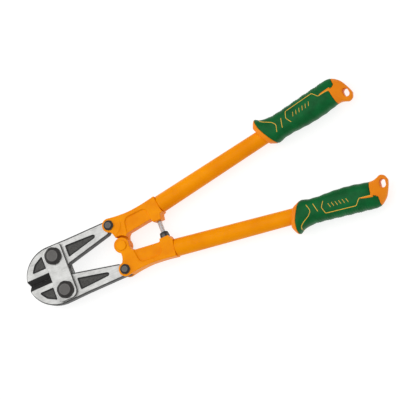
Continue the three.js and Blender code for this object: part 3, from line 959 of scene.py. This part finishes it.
def spline(knots, values, at):
    # smooth curve through the values at whole knots: cubic pieces with the slopes of the chords
    slope = np.gradient(values, knots, axis=0)
    index = np.clip(np.searchsorted(knots, at, side="right") - 1, 0, len(knots) - 2)
    step = knots[index + 1] - knots[index]
    t = (at - knots[index]) / step
    t, step = t[..., None], step[..., None]
    return (
        (2 * t**3 - 3 * t**2 + 1) * values[index]
        + (t**3 - 2 * t**2 + t) * step * slope[index]
        + (3 * t**2 - 2 * t**3) * values[index + 1]
        + (t**3 - t**2) * step * slope[index + 1]
    )


# the run of a ring is the length along the grip of its mean point and its half thickness
ringTable = np.array(gripSizes["rings"])
ringSteps = np.hypot(np.diff(ringTable[:, [0, 2]].mean(1)), np.diff(ringTable[:, 4]))
ringKnots = np.concatenate([[0], np.cumsum(ringSteps)])


def gripSurface(at, angle, lower=0.0):
    # the ring at the given run, read at an angle round it and drawn in by lower mm: the share
    # across and the height are powers of the angle's cosine and sine
    ring = spline(ringKnots, ringTable, at)
    power = gripSizes["square"]
    across = np.sign(np.cos(angle)) * np.abs(np.cos(angle)) ** power
    up = np.sign(np.sin(angle)) * np.abs(np.sin(angle)) ** power
    half = np.hypot(ring[..., 0] - ring[..., 2], ring[..., 1] - ring[..., 3]) / 2
    across = across * (1 - lower / half)
    share = (1 + across) / 2
    s = ring[..., 2] + (ring[..., 0] - ring[..., 2]) * share
    v = ring[..., 3] + (ring[..., 1] - ring[..., 3]) * share
    return s, v, (ring[..., 4] - lower) * up


def frontEdge(v):  # straight pieces between the cover's front points
    edge = np.array(gripSizes["coverFront"])[::-1]
    return np.interp(v, edge[:, 1], edge[:, 0])


def rearEdge(v):
    # two lobes side by side, each with a quarter round at the corner next to the other
    (innerEnd, innerStop), (outerEnd, outerStop) = gripSizes["innerLobe"], gripSizes["outerLobe"]
    corner = gripSizes["lobeCorner"]
    pastInner, pastOuter = np.maximum(v - innerStop + corner, 0), np.maximum(outerStop + corner - v, 0)
    inner = innerEnd - corner + np.sqrt(np.maximum(corner**2 - pastInner**2, 0))
    outer = outerEnd - corner + np.sqrt(np.maximum(corner**2 - pastOuter**2, 0))
    return np.where(v > (innerStop + outerStop) / 2, np.maximum(outer, innerEnd - corner), inner)


def runWhere(edge, angle):
    # for each angle, the run at which the ring crosses an edge drawn in the grip's plan
    at = np.linspace(0, ringKnots[-1], 900)[:, None] + 0 * angle
    s, v, _ = gripSurface(at, angle)
    past = s - edge(v)
    row = np.argmax(past > 0, axis=0)
    column = np.arange(len(angle))
    before, after = past[row - 1, column], past[row, column]
    return at[row - 1, column] + (at[row, column] - at[row - 1, column]) * (-before / (after - before))


ribSizes = {  # mm
    "first": 150,
    "wave": 12.4,  # from one finger wave to the next
    "fine": 3.1,
    "outerDepth": 0.45,
    "fineDepth": 0.25,
    "innerDepth": 0.4,
    "fadeIn": (162, 170),  # along the grip
    "fadeOut": (236, 244),
    "outerFrom": (7.5, 13),  # out from the grip's line
    "innerFrom": (10, 15),
}


def ribs(s, v):
    # broad cosine finger waves along both edges, with fine ribs moulded across the outer one; both
    # fade out over the flanks and towards the ends
    size = ribSizes
    run = smoothstep(s, *size["fadeIn"]) * (1 - smoothstep(s, *size["fadeOut"]))
    broad = 0.5 - 0.5 * np.cos(2 * np.pi * (s - size["first"]) / size["wave"])
    fine = 0.5 - 0.5 * np.cos(2 * np.pi * (s - size["first"]) / size["fine"])
    outer = smoothstep(v, *size["outerFrom"]) * (size["outerDepth"] * broad + size["fineDepth"] * fine)
    inner = smoothstep(-v, *size["innerFrom"]) * size["innerDepth"] * broad
    return run * (outer + inner)


def coverShell():
    # round the grip at each angle: over the cover's outside from its front edge to its rear one,
    # rounded off at both, and back beneath it
    angle = np.linspace(0, 2 * np.pi, gripSizes["columns"], endpoint=False)
    first, last = runWhere(frontEdge, angle), runWhere(rearEdge, angle)
    share = np.linspace(0.014, 0.986, 190)
    share = np.concatenate([[0, 0.002, 0.005, 0.009], share, [0.991, 0.995, 0.998, 1]])[:, None]
    at = first + (last - first) * share
    s, v, _ = gripSurface(at, angle)
    edge = gripSizes["coverEdge"]
    fromEnd = np.clip(np.minimum(s - frontEdge(v), rearEdge(v) - s) / edge, 0, 1)
    roundOff = edge * (1 - np.sqrt(np.clip(1 - (1 - fromEnd) ** 2, 0, 1)))
    outer = onHandle(*gripSurface(at, angle, roundOff + ribs(s, v)))
    under = first + (last - first) * np.linspace(1, 0, 40)[:, None]
    inner = onHandle(*gripSurface(under, angle, gripSizes["coverThick"] + gripSizes["coverUnder"]))
    return loft(np.concatenate([outer, inner]), closeRows=True)


def coreShell():
    # the grip's whole body, sunk beneath the cover and flush with it elsewhere, drawn in round the
    # hanging hole so that its rim is rounded
    angle = np.linspace(0, 2 * np.pi, gripSizes["columns"], endpoint=False)
    at = np.linspace(0, ringKnots[-1], 300)[:, None]
    s, v, _ = gripSurface(at, angle)
    under = smoothstep(s - frontEdge(v), -0.25, 0.1) * smoothstep(rearEdge(v) - s, -0.25, 0.1)
    hole = gripSizes["hole"]
    straight = hole["half"] - hole["radius"]
    nearest = np.clip(v, hole["out"] - straight, hole["out"] + straight)
    rim = np.hypot(s - hole["along"], v - nearest) - hole["radius"]
    flare = hole["sink"] * (1 - smoothstep(rim, -0.6, hole["flare"]))
    s, v, z = gripSurface(at, angle, gripSizes["coverThick"] * under)
    return loft(onHandle(s, v, z - np.sign(z) * np.minimum(flare, np.abs(z) * 0.5)))


def planToRun(s, v):
    # the run and the share across of the ring that passes through a point of the grip's plan, found
    # by taking the share at the last run and reading the run at that share, four times over
    at = np.linspace(0, ringKnots[-1], 900)
    ring = spline(ringKnots, ringTable, at)
    run = np.interp(s, ring[:, 0], at)
    for _ in range(4):
        here = spline(ringKnots, ringTable, run)
        share = (v - here[..., 3]) / (here[..., 1] - here[..., 3])
        table = ring[:, 2] + (ring[:, 0] - ring[:, 2]) * share[..., None]
        row = np.clip(np.sum(table < s[..., None], axis=-1), 1, len(at) - 1)
        before = np.take_along_axis(table, (row - 1)[..., None], -1)[..., 0]
        after = np.take_along_axis(table, row[..., None], -1)[..., 0]
        run = at[row - 1] + (at[row] - at[row - 1]) * np.clip((s - before) / (after - before), 0, 1)
    return run, share


gripLines = {
    "width": 0.85,  # mm
    "barWidth": 0.7,
    "rise": 0.25,
    "sink": 0.12,  # how far a line's edges lie below the surface
    "wave": [
        (153.4, 18.7), (154.8, 14.9), (158.2, 11.7), (166.2, 6.1), (169.3, 1.8), (169.4, -0.6),
        (166.2, -7.2),
    ],
    "slash": [(178.3, 3.8), (174.3, -6.5)],
    "bracket": [(186.7, -6.5), (183.4, 0.4), (186.6, 8.0), (223.8, 8.8), (229.0, 1.4), (243.5, 1.3)],
    # a row of plain slanted bars: how many, where the first is, their pitch, and how far each leans
    # and reaches from its middle
    "bars": {"count": 6, "first": 193, "pitch": 4.4, "lean": 1.1, "reach": 2.4},
}


def raisedLine(points, width, face):
    # a low round bar along the points of the grip's plan, laid on its upper or under face; width is
    # one value, or one at each end
    points = np.array(points, float)
    knots = np.concatenate([[0], np.cumsum(np.hypot(*np.diff(points, axis=0).T))])
    at = np.linspace(0, knots[-1], max(8, int(knots[-1] / 0.45)))
    path = np.stack([np.interp(at, knots, column) for column in points.T], axis=1)
    for _ in range(5):  # takes the sharpness off the corners
        path[1:-1] = (path[:-2] + path[1:-1] + path[2:]) / 3
    ahead = np.gradient(path, axis=0)
    ahead /= np.linalg.norm(ahead, axis=1, keepdims=True)
    side = np.stack([-ahead[:, 1], ahead[:, 0]], axis=1)
    across = np.linspace(-1, 1, 9)
    half = np.linspace(*np.broadcast_to(width, 2), len(path))[:, None] / 2
    plan = path[:, None] + side[:, None] * (half * across)[..., None]
    run, share = planToRun(plan[..., 0], plan[..., 1])
    ring = spline(ringKnots, ringTable, run)
    cosine = np.clip(np.abs(2 * share - 1), 0, 1) ** (1 / gripSizes["square"])
    height = ring[..., 4] * np.sqrt(1 - cosine**2) ** gripSizes["square"]
    crown = gripLines["rise"] * np.sqrt(1 - across**2 * 0.98)
    top = np.dstack([plan, height + crown - gripLines["sink"]])
    bottom = np.dstack([plan, height - gripSizes["coverThick"] - 0.2])[:, ::-1]
    rings = np.concatenate([top, bottom], axis=1)
    rings = onHandle(rings[..., 0], rings[..., 1], rings[..., 2] * face)
    return loft(rings)


def markBars():
    bars = gripLines["bars"]
    lean, reach = bars["lean"], bars["reach"]
    middles = np.arange(bars["count"]) * bars["pitch"] + bars["first"]
    return [[(s - lean, -reach), (s, 0), (s + lean, reach)] for s in middles]


def addGrip(side):
    # the raised lines, the core with its hanging slot cut through, and the soft cover over it
    lower = side == "lower"
    body = f"handle_{side}"
    lines = [gripLines[name] for name in ("wave", "slash", "bracket")]
    shells = []
    for face in (1, -1):
        shells += [raisedLine(points, gripLines["width"], face) for points in lines]
        shells += [raisedLine(points, gripLines["barWidth"], face) for points in markBars()]
    addPiece(f"{side}_grip_raised_lines", shells, linePaint, body, [], lower)
    band = [raisedLine(gripSizes["band"], gripSizes["bandWidth"], face) for face in (1, -1)]
    name, shells, replaced = f"{side}_grip_moulding", [coreShell(), *band], [f"{side}_grip_core"]
    core = addPiece(name, shells, hardPlastic, body, replaced, lower)
    hole = gripSizes["hole"]
    slot = rounded([
        (hole["along"] + a * hole["radius"], hole["out"] + b * hole["half"], hole["radius"] - 0.01)
        for a, b in ((1, -1), (1, 1), (-1, 1), (-1, -1))
    ], 12)
    flat, faces = slab(slot, -15, 15, 0.1)
    shells = [(onHandle(*flat.T), faces)]
    cutter = addPiece(f"{side}_hole_cutter", shells, hardPlastic, body, [], lower)
    cut = core.modifiers.new("hangingHole", "BOOLEAN")
    cut.operation = "DIFFERENCE"
    cut.object = cutter
    cored = bpy.data.meshes.new_from_object(core.evaluated_get(bpy.context.evaluated_depsgraph_get()))
    core.modifiers.clear()
    core.data = cored
    bpy.data.objects.remove(cutter)
    name, replaced = f"{side}_grip_soft_cover", [f"{side}_grip_cover"]
    addPiece(name, [coverShell()], rubber, body, replaced, lower)


for side in ("upper", "lower"):
    addGrip(side)
print("grips made")
